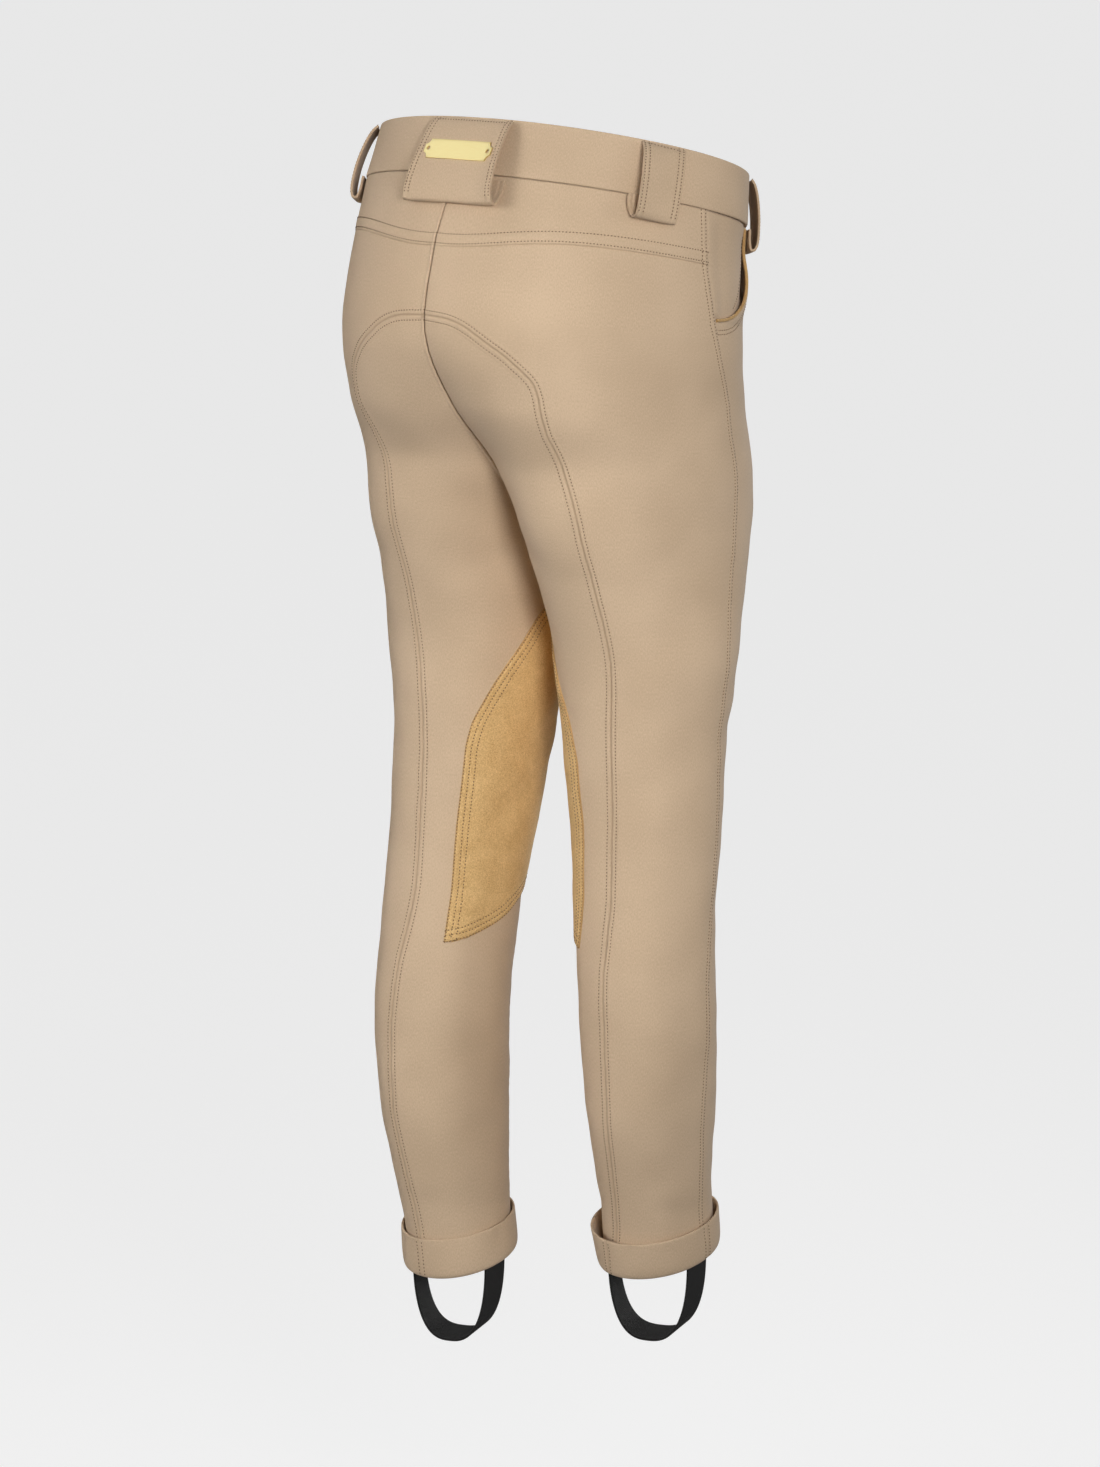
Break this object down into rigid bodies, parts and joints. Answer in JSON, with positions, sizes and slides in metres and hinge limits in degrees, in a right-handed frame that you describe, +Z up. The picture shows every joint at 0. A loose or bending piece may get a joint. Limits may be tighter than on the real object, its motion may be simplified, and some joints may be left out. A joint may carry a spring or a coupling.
{
  "type": "jodhpurs",
  "caption": "Child's jodhpurs, filled out and hollow: yoke, seat and inner leg panels, knee patches, belt loops, turn-ups and elastic foot straps.",
  "frame": {"origin": "centre of the waist opening, level with the mean height of the waistband's top edge", "axes": "+Z up, -Y towards the wearer's front, +X towards the wearer's left leg"},
  "size_m": [0.2829, 0.2595, 0.8597],
  "materials": {
    "cotton": "matte beige stretch cotton twill",
    "suede": "gold suede with a short nap",
    "elastic": "black woven elastic webbing",
    "brass": "polished brass"
  },
  "bodies": {
    "root": {"back_panel_left": "cotton", "back_panel_right": "cotton", "belt_loop_centre_back": "cotton", "belt_loop_front_left": "cotton", "belt_loop_front_right": "cotton", "belt_loop_side_back_left": "cotton", "belt_loop_side_back_right": "cotton", "fly_front": "cotton", "foot_strap_left": "elastic", "foot_strap_right": "elastic", "front_panel_left": "cotton", "front_panel_right": "cotton", "inner_panel_left": "cotton", "inner_panel_right": "cotton", "knee_patch_left": "suede", "knee_patch_right": "suede", "name_plate": "brass", "pocket_bearer_left": "cotton", "pocket_bearer_right": "cotton", "pocket_piping_left": "suede", "pocket_piping_right": "suede", "turn_up_left": "cotton", "turn_up_right": "cotton", "waistband": "cotton", "waistband_button": "brass", "yoke_left": "cotton", "yoke_right": "cotton"}
  },
  "joints": []
}
